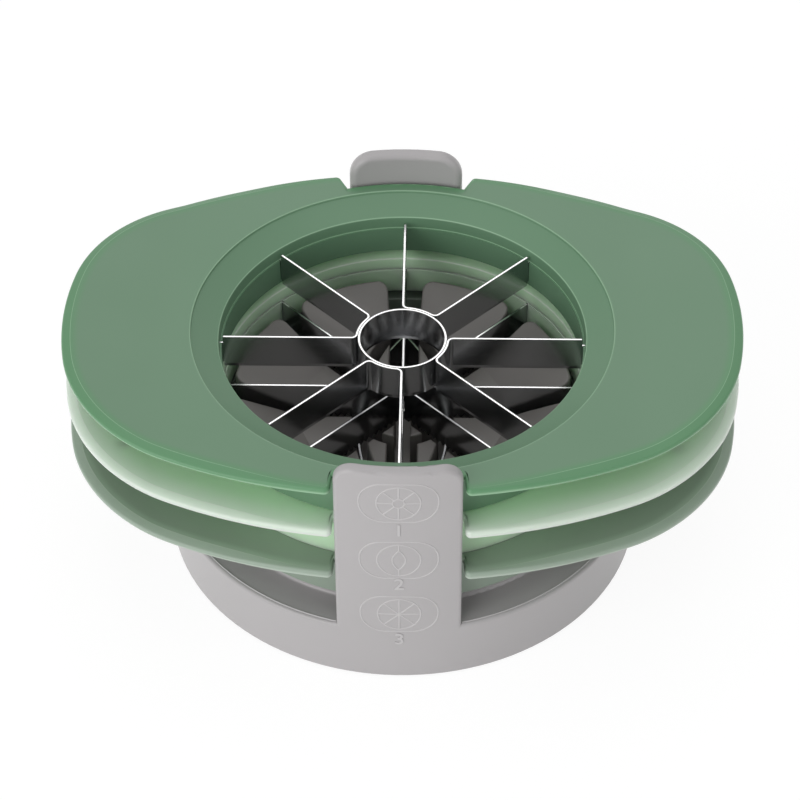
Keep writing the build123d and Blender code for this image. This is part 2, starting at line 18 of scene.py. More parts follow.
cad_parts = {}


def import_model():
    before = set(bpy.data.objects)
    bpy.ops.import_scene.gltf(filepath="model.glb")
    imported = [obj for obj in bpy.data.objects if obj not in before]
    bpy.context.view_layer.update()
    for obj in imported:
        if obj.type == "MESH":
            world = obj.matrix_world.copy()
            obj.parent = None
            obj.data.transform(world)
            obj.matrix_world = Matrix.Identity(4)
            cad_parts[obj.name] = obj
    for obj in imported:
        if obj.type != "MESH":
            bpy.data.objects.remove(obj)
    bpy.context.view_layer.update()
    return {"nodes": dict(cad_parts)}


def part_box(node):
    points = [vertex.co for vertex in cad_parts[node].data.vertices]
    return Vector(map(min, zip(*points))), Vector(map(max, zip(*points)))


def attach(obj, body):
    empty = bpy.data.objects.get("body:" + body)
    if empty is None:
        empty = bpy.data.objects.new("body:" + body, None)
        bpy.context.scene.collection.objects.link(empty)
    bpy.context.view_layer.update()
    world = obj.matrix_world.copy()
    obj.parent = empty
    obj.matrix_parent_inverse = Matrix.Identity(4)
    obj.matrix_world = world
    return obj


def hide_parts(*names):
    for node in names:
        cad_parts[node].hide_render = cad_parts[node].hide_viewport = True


MM = 0.001
NEAR_LAYER = "edge_nearness" # 1 on the outline of a plate, falling to 0 at NEAR_REACH inside it; it places the painted edge light and shade
NEAR_REACH = 40.0
PAINTED_HIGHLIGHT_LAYER = "edge_polish" # 1 where an edge gets a painted highlight
RAY_GAP = 0.5                # least angle between two rays of a plate, in degrees
WELD_GAP = 0.004             # points of a shell that lie closer than this are made one
IMPORTED = "cad_"            # put before the name of every material that comes with the frame
LOG = logging.getLogger("cutter_stack")
Point = tuple[float, float, float]
Profile = tuple[Point, ...]


class Cutter(Enum):
    """The three hand cutters, named as their CAD bodies are."""

    CORER = "corer"
    WEDGER = "wedger"
    SPLITTER = "splitter"


class Emblem(Enum):
    """What a moulded picture on the tab shows inside its round opening."""

    CORED_SPOKES = "cored_spokes"
    LENS = "lens"
    SPOKES = "spokes"


SLOTS = {
    Cutter.CORER: "top_cutter_plastic",
    Cutter.WEDGER: "middle_cutter_plastic",
    Cutter.SPLITTER: "bottom_cutter_plastic",
}


# --- helpers ------------------------------------------------------------------------------------
def linear(hex_colour: str) -> tuple[float, float, float, float]:
    """Turn an sRGB hex colour into linear light.

    Args:
        hex_colour: six hex digits after a hash sign.

    Returns:
        Linear red, green and blue, and an alpha of 1.
    """
    parts = [int(hex_colour[i:i + 2], 16) / 255 for i in (1, 3, 5)]
    red, green, blue = (p / 12.92 if p <= 0.04045 else ((p + 0.055) / 1.055) ** 2.4 for p in parts)
    return (red, green, blue, 1.0)


def add_node(tree: NodeTree, kind: str, inputs: dict[Any, Any] | None = None, **settings: Any) -> Node:
    """Add a node with its settings, values and links.

    Args:
        tree: the node tree that gets the node.
        kind: the node's Blender type name.
        inputs: value or output socket for each named or numbered input.
        settings: attributes of the node itself.

    Returns:
        The new node.
    """
    node = tree.nodes.new(kind)
    for name, value in settings.items():
        setattr(node, name, value)
    for name, value in (inputs or {}).items():
        if isinstance(value, NodeSocket):
            tree.links.new(value, node.inputs[name])
        else:
            node.inputs[name].default_value = value
    return node


def mixed(tree: NodeTree, share: Any, first: Any, second: Any) -> NodeSocket:
    """Return a mix of two colours with a share of the second, each given as a value or a socket."""
    mix = add_node(tree, "ShaderNodeMix", {"Factor": share, "A": first, "B": second}, data_type="RGBA")
    return mix.outputs["Result"]


def combined(tree: NodeTree, operation: str, first: Any, second: Any) -> NodeSocket:
    """Return the outcome of a maths operation on two values or sockets."""
    return add_node(tree, "ShaderNodeMath", {0: first, 1: second}, operation=operation).outputs[0]


def spread(tree: NodeTree, value: Any, low: float, high: float) -> NodeSocket:
    """Return a value that runs from a low to a high one while the given socket runs from 0 to 1."""
    spreader = add_node(tree, "ShaderNodeMapRange", {"Value": value, "To Min": low, "To Max": high})
    return spreader.outputs["Result"]


def new_material(name: str) -> tuple[Material, NodeTree]:
    """Make an empty node material.

    Args:
        name: the material's name.

    Returns:
        The material and its empty node tree.
    """
    material = bpy.data.materials.new(name)
    material.use_nodes = True
    material.node_tree.nodes.clear()
    return material, material.node_tree


def deselect() -> None:
    """Leave object mode with nothing selected and nothing active."""
    if bpy.context.object and bpy.context.object.mode != "OBJECT":
        bpy.ops.object.mode_set(mode="OBJECT")
    bpy.ops.object.select_all(action="DESELECT")
    bpy.context.view_layer.objects.active = None


def smooth(part: float) -> float:
    """Return a soft step from 0 to 1."""
    part = min(max(part, 0.0), 1.0)
    return part * part * (3 - 2 * part)


def turned(station: "Station", sign_x: int, sign_y: int) -> "Station":
    """Return a station mirrored across one or both axes."""
    signs = Vector((sign_x, sign_y))
    return replace(
        station, place=station.place * signs, outwards=station.outwards * signs, ray=station.ray * signs
    )


def with_rays(stations: list["Station"]) -> list["Station"]:
    """Give each station its ray from the stack axis, so that no two rays cross.

    Args:
        stations: one quarter of the outline, from a wing's tip to the middle of a notch.

    Returns:
        The same stations, whose rays grow steadily in angle although the notch is undercut.
    """
    least = math.radians(RAY_GAP)
    rayed = []
    following = math.pi / 2 + least
    for station in reversed(stations):
        angle = math.atan2(station.place.y, station.place.x)
        following = min(angle, following - least)
        rayed.append(replace(station, ray=Vector((math.cos(following), math.sin(following)))))
    return rayed[::-1]


@dataclass(frozen=True)
class Ring:
    """A ring of a shell: its points in millimetres, how near each is to the outline, and its share of
    painted highlight.
    """

    points: list[Vector]
    nearness: list[float]
    polish: float = 0.0


def grow_shell(name: str, rings: list[Ring], level: float) -> Object:
    """Extrude a ring through all the others and close it on itself.

    Args:
        name: name of the piece.
        rings: the rings, the last one at the first one's place.
        level: height above the table from which the points' heights are counted, in millimetres.

    Returns:
        A closed shell that points outwards.
    """
    deselect()
    bpy.context.tool_settings.mesh_select_mode = (True, False, False)
    bpy.ops.mesh.primitive_circle_add(vertices=len(rings[0].points), radius=1.0, fill_type="NOTHING")
    piece = bpy.context.object
    piece.name = name
    piece.data.name = name
    bpy.ops.object.mode_set(mode="EDIT")
    shape = bmesh.from_edit_mesh(piece.data)
    shape.verts.layers.int.new("order")
    shape.verts.layers.float.new(NEAR_LAYER)
    shape.verts.layers.float.new(PAINTED_HIGHLIGHT_LAYER)
    order = shape.verts.layers.int["order"]
    for number, corner in enumerate(shape.verts):
        corner[order] = number
    bpy.ops.mesh.select_all(action="SELECT")
    for number, ring in enumerate(rings):
        if number:
            bpy.ops.mesh.extrude_region_move()
            shape = bmesh.from_edit_mesh(piece.data)
        order = shape.verts.layers.int["order"]
        near = shape.verts.layers.float[NEAR_LAYER]
        polish = shape.verts.layers.float[PAINTED_HIGHLIGHT_LAYER]
        # each point takes its ring's nearness and its share of painted highlight
        for corner in shape.verts:
            if corner.select:
                corner.co = (ring.points[corner[order]] + Vector((0, 0, level))) * MM
                corner[near] = ring.nearness[corner[order]]
                corner[polish] = ring.polish
    bpy.ops.mesh.select_all(action="SELECT")
    bpy.ops.mesh.remove_doubles(threshold=WELD_GAP * MM)
    bpy.ops.mesh.normals_make_consistent(inside=False)
    bpy.ops.object.mode_set(mode="OBJECT")
    return piece


def join_pieces(piece: Object, others: list[Object]) -> Object:
    """Join other objects into a piece.

    Args:
        piece: the object that stays.
        others: the objects that go into it.

    Returns:
        The piece.
    """
    deselect()
    for other in others:
        other.select_set(True)
    piece.select_set(True)
    bpy.context.view_layer.objects.active = piece
    bpy.ops.object.join()
    return piece


def paint_highlight(piece: Object, amount: float) -> None:
    """Give a whole piece a painted highlight.

    Args:
        piece: the piece.
        amount: strength of the painted highlight, from 0 for none to 1.
    """
    polish = piece.data.attributes.new(PAINTED_HIGHLIGHT_LAYER, "FLOAT", "POINT")
    for point in polish.data:
        point.value = amount


def finish_piece(piece: Object, finish: Material, sharp: float) -> None:
    """Shade a piece smooth between its sharp edges and give it one finish.

    Args:
        piece: the piece.
        finish: its material.
        sharp: edges with a greater angle than this, in degrees, stay sharp.
    """
    deselect()
    piece.select_set(True)
    bpy.context.view_layer.objects.active = piece
    bpy.ops.object.shade_smooth_by_angle(angle=math.radians(sharp))
    piece.data.materials.clear()
    piece.data.materials.append(finish)
    deselect()


# --- finishes -----------------------------------------------------------------------------------
@dataclass(frozen=True)
class MouldedPlastic:
    """Injection-moulded polypropylene or ABS: satin, with a fine spark-eroded grain and slight flow tints.

    The rubber of the foot pads is moulded too, and is the same finish with a rougher surface.
    """

    # Near a plate's outline the colour is mixed with painted edge light and shade: painted light on the pale
    # plates, painted shade on the dark top plate.
    name: str
    colour: str
    flow_colour: str
    painted_edge_shading_colour: str             # painted edge light and shade: colour mixed in near a plate's outline, lighter or darker than the plastic
    painted_highlight_colour: str           # colour of the painted highlight on marked edges
    painted_edge_shading_reach: float = 1.0       # how far in from the outline the painted edge light and shade reaches
    glow_depth: float = 0.0      # how far light travels inside the plastic
    roughness: float = 0.42
    roughness_swing: float = 0.05
    refraction: float = 1.49     # polypropylene, and ABS is close to it
    grain: float = 0.45          # spacing of the mould grain, drawn a little coarse so that it shows
    grain_depth: float = 0.006
    grain_strength: float = 0.5
    flow: float = 38.0           # width of the flow tints
    noise_detail: float = 2.0

    def material(self) -> Material:
        """Make the node material of this plastic.

        Returns:
            The material, named as its slot is.
        """
        material, tree = new_material(self.name)
        place = add_node(tree, "ShaderNodeTexCoord").outputs["Object"]
        flow, grain = (
            add_node(
                tree,
                "ShaderNodeTexNoise",
                {"Vector": place, "Scale": 1 / (width * MM), "Detail": self.noise_detail},
            ).outputs["Fac"]
            for width in (self.flow, self.grain)
        )
        # painted edge light and shade, mixed in near the plate's outline
        near = add_node(tree, "ShaderNodeAttribute", attribute_name=NEAR_LAYER)
        painted_edge_shading_share = add_node(
            tree,
            "ShaderNodeMapRange",
            {"Value": near.outputs["Fac"], "From Min": 1 - self.painted_edge_shading_reach / NEAR_REACH, "From Max": 1.0},
            interpolation_type="SMOOTHSTEP",
        )
        # painted highlight on marked edges
        polish = add_node(tree, "ShaderNodeAttribute", attribute_name=PAINTED_HIGHLIGHT_LAYER)
        colour = linear(self.colour)
        for share, tone in (
            (flow, self.flow_colour),
            (painted_edge_shading_share.outputs["Result"], self.painted_edge_shading_colour),
            (polish.outputs["Fac"], self.painted_highlight_colour),
        ):
            colour = mixed(tree, share, colour, linear(tone))
        bump = add_node(
            tree,
            "ShaderNodeBump",
            {"Height": grain, "Strength": self.grain_strength, "Distance": self.grain_depth * MM},
        )
        swing = self.roughness_swing
        gloss = spread(tree, grain, self.roughness - swing, self.roughness + swing)
        shader = add_node(
            tree,
            "ShaderNodeBsdfPrincipled",
            {
                "Base Color": colour,
                "Roughness": gloss,
                "IOR": self.refraction,
                "Normal": bump.outputs["Normal"],
                "Subsurface Weight": 1.0 if self.glow_depth else 0.0,
                "Subsurface Radius": (1.0, 1.0, 1.0),
                "Subsurface Scale": self.glow_depth * MM,
            },
        )
        add_node(tree, "ShaderNodeOutputMaterial", {"Surface": shader.outputs["BSDF"]})
        return material


@dataclass(frozen=True)
class BladeSteel:
    """Cold-rolled stainless strip: mirror-like faces with fine rolling lines, and cut edges with a painted
    highlight that turns to painted shade at their corners.
    """

    name: str
    colour: str = "#ACADAF"
    # painted highlight on the cut edges, which face up and down
    painted_cut_highlight_colour: str = "#E4E4E4"
    # painted shade at the corners of the cut edges
    painted_corner_shade_colour: str = "#2E2E2E"
    roughness: float = 0.20
    roughness_swing: float = 0.07
    line_pitch: float = 0.12     # distance between rolling lines
    line_length: float = 14.0
    line_depth: float = 0.0015
    line_strength: float = 0.4
    line_detail: float = 3.0
    cut_lean: float = 0.8        # a face is a cut edge, with a painted highlight, where its normal points up or down by more
    corner_lean: float = 0.97    # a cut edge gets painted shade where its bevelled normal points up or down by less
    corner_round: float = 0.32   # reach of the bevelled normal, over which the corners of a cut edge get painted shade
    corner_samples: int = 8

    def upright(self, tree: NodeTree, normal: NodeSocket, lean: float) -> NodeSocket:
        """Tell upright normals from others.

        Args:
            tree: the node tree that gets the nodes.
            normal: the socket that gives the normal.
            lean: the least vertical part of an upright normal.

        Returns:
            A socket that gives 1 where the normal points up or down by more than that, and else 0.
        """
        parts = add_node(tree, "ShaderNodeSeparateXYZ", {"Vector": normal})
        steep = add_node(tree, "ShaderNodeMath", {0: parts.outputs["Z"]}, operation="ABSOLUTE")
        return combined(tree, "GREATER_THAN", steep.outputs[0], lean)

    def material(self) -> Material:
        """Make the node material of this steel.

        Returns:
            The material, named as its slot is.
        """
        material, tree = new_material(self.name)
        place = add_node(tree, "ShaderNodeTexCoord").outputs["Object"]
        spans = (self.line_length, self.line_length, self.line_pitch)
        stretch = add_node(
            tree, "ShaderNodeMapping", {"Vector": place, "Scale": [1 / (span * MM) for span in spans]}
        )
        lines = add_node(
            tree,
            "ShaderNodeTexNoise",
            {"Vector": stretch.outputs["Vector"], "Scale": 1.0, "Detail": self.line_detail},
        ).outputs["Fac"]
        swing = self.roughness_swing
        gloss = spread(tree, lines, self.roughness - swing, self.roughness + swing)
        bump = add_node(
            tree,
            "ShaderNodeBump",
            {"Height": lines, "Strength": self.line_strength, "Distance": self.line_depth * MM},
        )
        # faces that point up or down get a painted highlight, with painted shade at their rounded corners
        bevelled_normal = add_node(
            tree, "ShaderNodeBevel", {"Radius": self.corner_round * MM}, samples=self.corner_samples
        ).outputs["Normal"]
        flat = add_node(tree, "ShaderNodeNewGeometry").outputs["Normal"]
        bright = self.upright(tree, bevelled_normal, self.corner_lean)
        edge = mixed(tree, bright, linear(self.painted_corner_shade_colour), linear(self.painted_cut_highlight_colour))
        colour = mixed(tree, self.upright(tree, flat, self.cut_lean), linear(self.colour), edge)
        shader = add_node(
            tree,
            "ShaderNodeBsdfPrincipled",
            {
                "Base Color": colour,
                "Metallic": 1.0,
                "Roughness": gloss,
                "Normal": bump.outputs["Normal"],
            },
        )
        add_node(tree, "ShaderNodeOutputMaterial", {"Surface": shader.outputs["BSDF"]})
        return material


# --- studio -------------------------------------------------------------------------------------
@dataclass(frozen=True)
class SoftBox:
    """A square lamp that is aimed at the object: its name, middle, side and power in watts."""

    name: str
    place: Point
    side: float
    power: float


@dataclass
class Studio:
    """Camera, white surroundings, pale floor and soft lamps."""

    focal_length: float = 122.54
    sensor_width: float = 36.0
    camera_place: Point = (11.90, -575.37, 580.24)
    camera_target: Point = (0.0, 0.0, 42.43)
    camera_roll: float = 0.29    # degrees that the picture leans to the left
    frame_shift: float = -0.0033
    sight: float = 20000.0       # how far the camera sees
    daylight: float = 0.45
    white: str = "#FFFFFF"
    floor_size: float = 6000.0
    floor_colour: str = "#F4F4F4"
    floor_seen: str = "#6A6A6A"  # what the eye sees of the floor's own colour, on top of its lift
    floor_lift: float = 0.90
    floor_roughness: float = 0.9
    lamps: tuple[SoftBox, ...] = (
        SoftBox("top_box", (0, 150, 1300), 1100, 2.4),
        SoftBox("back_box", (0, 1100, 1000), 900, 2.0),
        SoftBox("left_box", (-850, -1000, 520), 1100, 9.5),
        SoftBox("right_box", (1000, -800, 600), 800, 1.2),
    )

    def build(self) -> None:
        """Build the whole studio."""
        self.build_camera()
        self.build_world()
        self.build_floor()
        self.build_lamps()
        bpy.context.scene.view_settings.view_transform = "Standard"

    def aimed(self, place: Point) -> Matrix:
        """Return the matrix of a camera or lamp that looks from a place at the object."""
        spot, target = Vector(place) * MM, Vector(self.camera_target) * MM
        return Matrix.Translation(spot) @ (target - spot).to_track_quat("-Z", "Y").to_matrix().to_4x4()

    def build_camera(self) -> None:
        """Place the camera and make it the scene's own."""
        data = bpy.data.cameras.new("camera")
        data.lens = self.focal_length
        data.sensor_width = self.sensor_width
        data.sensor_fit = "HORIZONTAL"
        data.shift_x = self.frame_shift
        data.clip_end = self.sight * MM
        camera = bpy.data.objects.new("camera", data)
        bpy.context.scene.collection.objects.link(camera)
        lean = Matrix.Rotation(math.radians(-self.camera_roll), 4, "Z")
        camera.matrix_world = self.aimed(self.camera_place) @ lean
        bpy.context.scene.camera = camera

    def build_world(self) -> None:
        """Light the object softly from all round, and show white behind it and in its gloss."""
        world = bpy.data.worlds.new("surroundings")
        world.use_nodes = True
        tree = world.node_tree
        tree.nodes.clear()
        path = add_node(tree, "ShaderNodeLightPath").outputs
        clear = combined(tree, "MAXIMUM", path["Is Camera Ray"], path["Is Transmission Ray"])
        seen = combined(tree, "MAXIMUM", clear, path["Is Glossy Ray"])
        background = add_node(
            tree,
            "ShaderNodeBackground",
            {"Color": linear(self.white), "Strength": spread(tree, seen, self.daylight, 1.0)},
        )
        add_node(tree, "ShaderNodeOutputWorld", {"Surface": background.outputs["Background"]})
        bpy.context.scene.world = world

    def build_floor(self) -> None:
        """Lay the pale floor, lifted for the eye alone so that it reads as white."""
        deselect()
        bpy.ops.mesh.primitive_plane_add(size=self.floor_size * MM)
        floor = bpy.context.object
        floor.name = "floor"
        material, tree = new_material("pale_floor")
        path = add_node(tree, "ShaderNodeLightPath").outputs
        eye = path["Is Camera Ray"]
        seen = combined(tree, "MAXIMUM", eye, path["Is Glossy Ray"])
        colour = mixed(tree, eye, linear(self.floor_colour), linear(self.floor_seen))
        lift = combined(tree, "MULTIPLY", seen, self.floor_lift)
        shader = add_node(
            tree,
            "ShaderNodeBsdfPrincipled",
            {
                "Base Color": colour,
                "Roughness": self.floor_roughness,
                "Specular IOR Level": 0.0,
                "Emission Color": linear(self.white),
                "Emission Strength": lift,
            },
        )
        add_node(tree, "ShaderNodeOutputMaterial", {"Surface": shader.outputs["BSDF"]})
        floor.data.materials.append(material)

    def build_lamps(self) -> None:
        """Hang the soft boxes."""
        for box in self.lamps:
            data = bpy.data.lights.new(box.name, "AREA")
            data.shape = "SQUARE"
            data.size = box.side * MM
            data.energy = box.power
            lamp = bpy.data.objects.new(box.name, data)
            bpy.context.scene.collection.objects.link(lamp)
            lamp.matrix_world = self.aimed(box.place)


# --- plates of the cutters -----------------------------------------------------------------------
@dataclass(frozen=True)
class Station:
    """A point of the plate outline: its place, the way out, the width of its band, and its ray."""

    place: Vector
    outwards: Vector
    band: float
    ray: Vector = Vector((0.0, 0.0))


@dataclass
class CutterFrame:
    """Winged plate of one cutter, with its funnelled opening, its skirt and the ribs under its wings.

    Heights are counted from the opening edge, as level does, which comes from the CAD node.
    """

    cutter: Cutter
    opening_radius: float = 52.0
    rim_fall: float = 4.0
    stack_pitch: float = 16.0
    funnel_width: float = 7.7
    painted_highlight_strength: float = 0.7           # strength of the painted highlight on the edges
    # each point of a profile: way out, height, and share of the painted highlight
    step_profile: Profile = (    # the small step, from the plate top down
        (-0.35, -0.92, 0.0), (-0.12, -0.74, 0.0), (-0.05, -0.25, 0.25),
        (0.04, -0.07, 1.0), (0.225, -0.01, 1 / 3), (0.45, 0.0, 0.0),
    )
    opening_profile: Profile = ( # the opening edge, in units of its rounding
        (-0.2, -1.0, 0.0), (0.0, -0.3, 0.5), (0.3, 0.1, 1.0), (1.0, 0.5, 0.0),
    )
    foot_profile: Profile = (    # the outer foot of the skirt, in units of its rounding
        (-0.25, 2.0, 0.0), (0.0, 1.0, 0.0), (-0.3, 0.3, 1.0), (-1.0, 0.0, 0.0),
    )
    opening_round: float = 0.3
    seam_highlight_height: float = 0.3       # height of the painted highlight band on the bore over the seam
    seam_highlight_fade: float = 0.06      # height over which that painted highlight fades out
    bore_taper: float = 0.3
    seam_depth: float = 3.7
    skirt_land: float = 1.6
    skirt_wall: float = 2.7
    skirt_draft: float = 0.6
    skirt_round: float = 0.4
    notch_land: float = 2.2
    notch_depth: float = 4.3
    notch_gap: float = 0.5
    notch_corner: float = 1.6
    front_notch: tuple[float, float] = (34.5, 0.3)    # width of the tab, and flare of its notch
    rear_notch: tuple[float, float] = (33.6, 2.2)     # width of the lug, and flare of its notch
    wing_reach: float = 34.3
    wing_flat: float = 1.7
    wing_rise: float = 6.2       # degrees
    wing_bend: float = 60.0
    side_radius: float = 153.0
    corner_radius: float = 48.0
    thickness: float = 2.2
    band_width: float = 1.8      # straight part of the sloping band inside the edge
    band_slope: float = 17.0     # degrees
    band_break: float = 1.0      # rounding where the plate top breaks down to the band
    roll: float = 0.9            # rounding of the upper edge
    lip: float = 0.4             # rounding of the lower edge
    band_fade: float = 30.0      # the band narrows over this length towards a notch
    band_least: float = 0.15
    break_line: int = 2          # point of the edge section at which the break to the band gets a painted highlight
    break_points: int = 4
    roll_points: int = 7
    lip_points: int = 5
    top_rings: int = 14
    under_rings: int = 10
    end_steps: int = 10          # stations along each stretch of the outline, from a wing's tip on
    corner_steps: int = 28
    side_steps: int = 40
    mouth_steps: int = 9
    wall_parts: tuple[float, ...] = (0.0, 0.35, 0.7)
    floor_steps: int = 7
    sharp: float = 32.0          # degrees
    rib_thickness: float = 1.6
    rib_depth: float = 5.0
    rib_tip_depth: float = 1.0
    rib_end_gap: float = 10.0
    rib_cut: float = -0.3        # the unit cube is cut here, to bend where the plate starts to rise
    rib_angles: tuple[float, ...] = (-24.0, 0.0, 24.0, 156.0, 180.0, 204.0)
    level: float = field(init=False)

    def __post_init__(self) -> None:
        """Take the height of the opening edge from the CAD node."""
        lowest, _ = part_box(f"{self.cutter.value}_frame")
        self.level = lowest.z / MM + self.stack_pitch - self.rim_fall

    @property
    def step_radius(self) -> float:
        """Radius of the step between the plate top and the funnel."""
        return self.opening_radius + self.funnel_width

    @property
    def skirt_radius(self) -> float:
        """Outer foot of the skirt."""
        return self.step_radius + self.skirt_land

    @property
    def notch_radius(self) -> float:
        """Floor of the notches."""
        return self.skirt_radius + self.notch_land

    def plate_height(self, x: float) -> float:
        """Tell the height of the plate top, which rises along the wings.

        Args:
            x: distance from the middle along the wings.

        Returns:
            The height over the opening edge.
        """
        start = self.skirt_radius + self.wing_flat
        slope = math.radians(self.wing_rise)
        run = abs(x) - start
        if run <= 0:
            return self.rim_fall
        if run < self.wing_bend * math.sin(slope):
            return self.rim_fall + self.wing_bend - math.sqrt(self.wing_bend**2 - run**2)
        bent = self.wing_bend * (1 - math.cos(slope))
        return self.rim_fall + bent + (run - self.wing_bend * math.sin(slope)) * math.tan(slope)

    # outline
    def arc(self, centre: Vector, radius: float, first: float, last: float, steps: int) -> list[Station]:
        """Return the stations of an arc without its last point.

        Args:
            centre: middle of the arc.
            radius: radius of the arc.
            first: angle at which it starts, in radians.
            last: angle at which it ends, in radians.
            steps: number of stations.

        Returns:
            The stations, each with a full band.
        """
        stations = []
        for step in range(steps):
            angle = first + (last - first) * step / steps
            way = Vector((math.cos(angle), math.sin(angle)))
            stations.append(Station(centre + way * radius, way, 1.0))
        return stations

    def quarter(self, notch: tuple[float, float]) -> list[Station]:
        """Return the stations from a wing's tip to the middle of a notch, for the rear right quarter.

        Args:
            notch: width of the upright in the notch, and flare of the notch.

        Returns:
            The stations in order, the first on the wing's middle line and the last in the notch.
        """
        crown = self.notch_radius + self.notch_depth
        wing_radius = self.skirt_radius + self.wing_reach
        side = Vector((0.0, crown - self.side_radius))
        to_end = wing_radius - self.corner_radius
        to_side = self.side_radius - self.corner_radius
        corner_y = (side.y**2 + to_end**2 - to_side**2) / (2 * side.y)
        corner = Vector((math.sqrt(to_end**2 - corner_y**2), corner_y))
        end_angle = math.atan2(corner.y, corner.x)
        side_angle = math.atan2(corner.y - side.y, corner.x)

        half = notch[0] / 2 + self.notch_gap
        foot = Vector((half, math.sqrt(self.notch_radius**2 - half**2)))
        along = Vector((notch[1], self.notch_depth)).normalized()
        into = Vector((along.y, -along.x))
        from_side = foot + into * self.notch_corner - side
        reach = self.side_radius - self.notch_corner
        ahead = from_side.dot(along)
        slide = -ahead + math.sqrt(ahead**2 - from_side.length_squared + reach**2)
        mouth = side + from_side + along * slide
        mouth_angle = math.atan2(mouth.y - side.y, mouth.x)
        notch_angle = math.atan2(-into.y, -into.x)

        stations = self.arc(Vector((0.0, 0.0)), wing_radius, 0.0, end_angle, self.end_steps)
        stations += self.arc(corner, self.corner_radius, end_angle, side_angle, self.corner_steps)
        for station in self.arc(side, self.side_radius, side_angle, mouth_angle, self.side_steps):
            left = (station.place - mouth).length / self.band_fade
            fade = self.band_least + (1 - self.band_least) * smooth(left)
            stations.append(Station(station.place, station.outwards, fade))
        rounding = self.arc(mouth, self.notch_corner, mouth_angle, notch_angle, self.mouth_steps)
        for number, station in enumerate(rounding):
            fade = self.band_least * (1 - number / self.mouth_steps)
            stations.append(Station(station.place, station.outwards, fade))
        wall_top = mouth - into * self.notch_corner
        for part in self.wall_parts:
            stations.append(Station(wall_top.lerp(foot, part), -into, 0.0))
        stations.append(Station(foot, foot.normalized() - into, 0.0))
        floor_angle = math.atan2(foot.y, foot.x)
        floor = self.arc(Vector((0.0, 0.0)), self.notch_radius, floor_angle, math.pi / 2, self.floor_steps)
        stations += [replace(station, band=0.0) for station in floor[1:]]
        stations.append(Station(Vector((0.0, self.notch_radius)), Vector((0.0, 1.0)), 0.0))
        return with_rays(stations)

    def outline(self) -> list[Station]:
        """Join the quarters of the outline.

        Returns:
            The stations all round the plate, anticlockwise from the right wing's tip.
        """
        rear = self.quarter(self.rear_notch)
        front = self.quarter(self.front_notch)
        return (
            rear
            + [turned(station, -1, 1) for station in reversed(rear[1:-1])]
            + [turned(station, -1, -1) for station in front]
            + [turned(station, 1, -1) for station in reversed(front[1:-1])]
        )

    def edge_section(self, band: float) -> list[tuple[float, float]]:
        """Return the section of the edge: distance in from the outline, and drop from the plate top.

        Args:
            band: 1 for the whole sloping band, 0 for an edge without one.

        Returns:
            The points from the plate top over the band and the roll to the underside.
        """
        slope = math.radians(self.band_slope) * band
        straight = self.band_width * band
        roll_fall = self.roll * math.cos(slope) + straight * math.tan(slope)
        roll_fall += self.band_break * (1 - math.cos(slope))
        roll_in = self.roll * (1 - math.sin(slope))
        full_in = roll_in + straight + self.band_break * math.sin(slope)
        points = []
        for step in range(self.break_points):
            tilt = slope * step / (self.break_points - 1)
            inset = full_in - self.band_break * math.sin(tilt)
            points.append((inset, self.band_break * (1 - math.cos(tilt))))
        for step in range(self.roll_points):
            tilt = slope + (math.pi / 2 - slope) * step / (self.roll_points - 1)
            points.append((self.roll * (1 - math.sin(tilt)), roll_fall - self.roll * math.cos(tilt)))
        for step in range(self.lip_points):
            tilt = math.pi / 2 * step / (self.lip_points - 1)
            rise = self.lip * (1 - math.sin(tilt))
            points.append((self.lip * (1 - math.cos(tilt)), self.thickness - rise))
        return points

    def round_section(self) -> list[Point]:
        """Lay out the section of the round part, from the skirt over the bore to the step.

        Returns:
            Its points, each as radius, height and share of painted highlight.
        """
        bottom = self.rim_fall - self.stack_pitch
        recess = self.skirt_radius - self.skirt_wall
        bore = self.opening_radius - self.bore_taper
        seam = -self.seam_depth
        seam_highlight_top = seam + self.seam_highlight_height

        def placed(profile: Profile, radius: float, height: float, unit: float = 1.0) -> list[Point]:
            """Return the points of a profile at a radius and a height."""
            return [
                (radius + way * unit, height + rise * unit, self.painted_highlight_strength * share)
                for way, rise, share in profile
            ]

        return [
            (self.skirt_radius - self.skirt_draft, self.rim_fall - self.thickness, 0.0),
            *placed(self.foot_profile, self.skirt_radius, bottom, self.skirt_round),
            (recess, bottom, 0.0),
            (recess, seam, 0.0),
            # a painted highlight band on the bore just over the seam
            (bore, seam, self.painted_highlight_strength),
            (bore, seam_highlight_top, self.painted_highlight_strength),
            (bore, seam_highlight_top + self.seam_highlight_fade, 0.0),
            *placed(self.opening_profile, self.opening_radius, 0.0, self.opening_round),
            *placed(self.step_profile, self.step_radius, self.rim_fall),
        ]

    def rings(self) -> list[Ring]:
        """Lay out the frame's shell.

        Returns:
            Every ring of it, from the plate top outwards and round to it again.
        """
        stations = self.outline()
        sections = [self.edge_section(station.band) for station in stations]
        land = self.step_radius + self.step_profile[-1][0]
        lip_line = len(sections[0]) - self.lip_points

        def round_ring(radius: float, height: float, polish: float) -> Ring:
            """Return a round ring."""
            points = [(station.ray * radius).to_3d() + Vector((0, 0, height)) for station in stations]
            return Ring(points, [0.0] * len(points), polish)

        def edge_ring(number: int) -> Ring:
            """Lay a ring through one point of every edge section.

            Args:
                number: the point's place in its section.

            Returns:
                The ring.
            """
            points = []
            for station, section in zip(stations, sections):
                inset, drop = section[number]
                place = station.place - station.outwards * inset
                points.append(Vector((place.x, place.y, self.plate_height(place.x) - drop)))
            # the break to the band and the lower lip get a painted highlight
            polish = self.painted_highlight_strength if number in (self.break_line, lip_line) else 0.0
            return Ring(points, [1.0] * len(points), polish)

